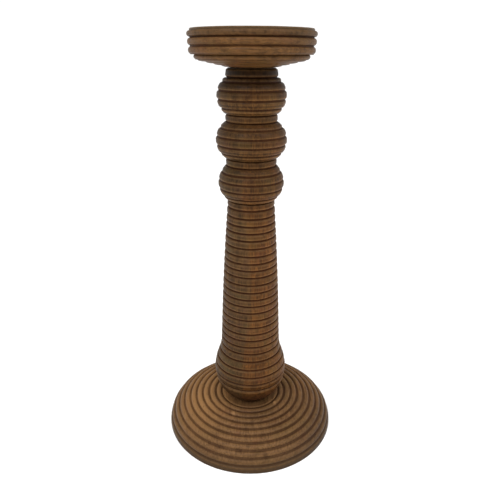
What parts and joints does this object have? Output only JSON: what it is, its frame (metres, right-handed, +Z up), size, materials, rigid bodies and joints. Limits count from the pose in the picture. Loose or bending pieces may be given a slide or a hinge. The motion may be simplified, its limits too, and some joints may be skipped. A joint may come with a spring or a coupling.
{
  "type": "pillar candlestick",
  "caption": "Turned wooden pillar candlestick: ribbed round base, ribbed tapering stem with bulbs, and a ribbed dish with a shallow candle recess.",
  "frame": {"origin": "centre of the foot, on the surface that the candlestick stands on", "axes": "+Z up along the turning axis, from the foot to the candle; +X and +Y are level"},
  "size_m": [0.133, 0.133, 0.2989],
  "materials": {
    "base_wood": "oiled, dark stain in the grooves, grain across",
    "stem_wood": "oiled satin, dark stain in the grooves, grain along the axis",
    "dish_wood": "oiled satin, dark stain in the grooves, grain across",
    "screw_steel": "bright zinc plate",
    "pad_felt": "pressed wool felt"
  },
  "bodies": {
    "root": {"base": "base_wood", "stem": "stem_wood", "dish": "dish_wood", "base_screw": "screw_steel", "dish_screw": "screw_steel", "felt_pad": "pad_felt"}
  },
  "joints": []
}
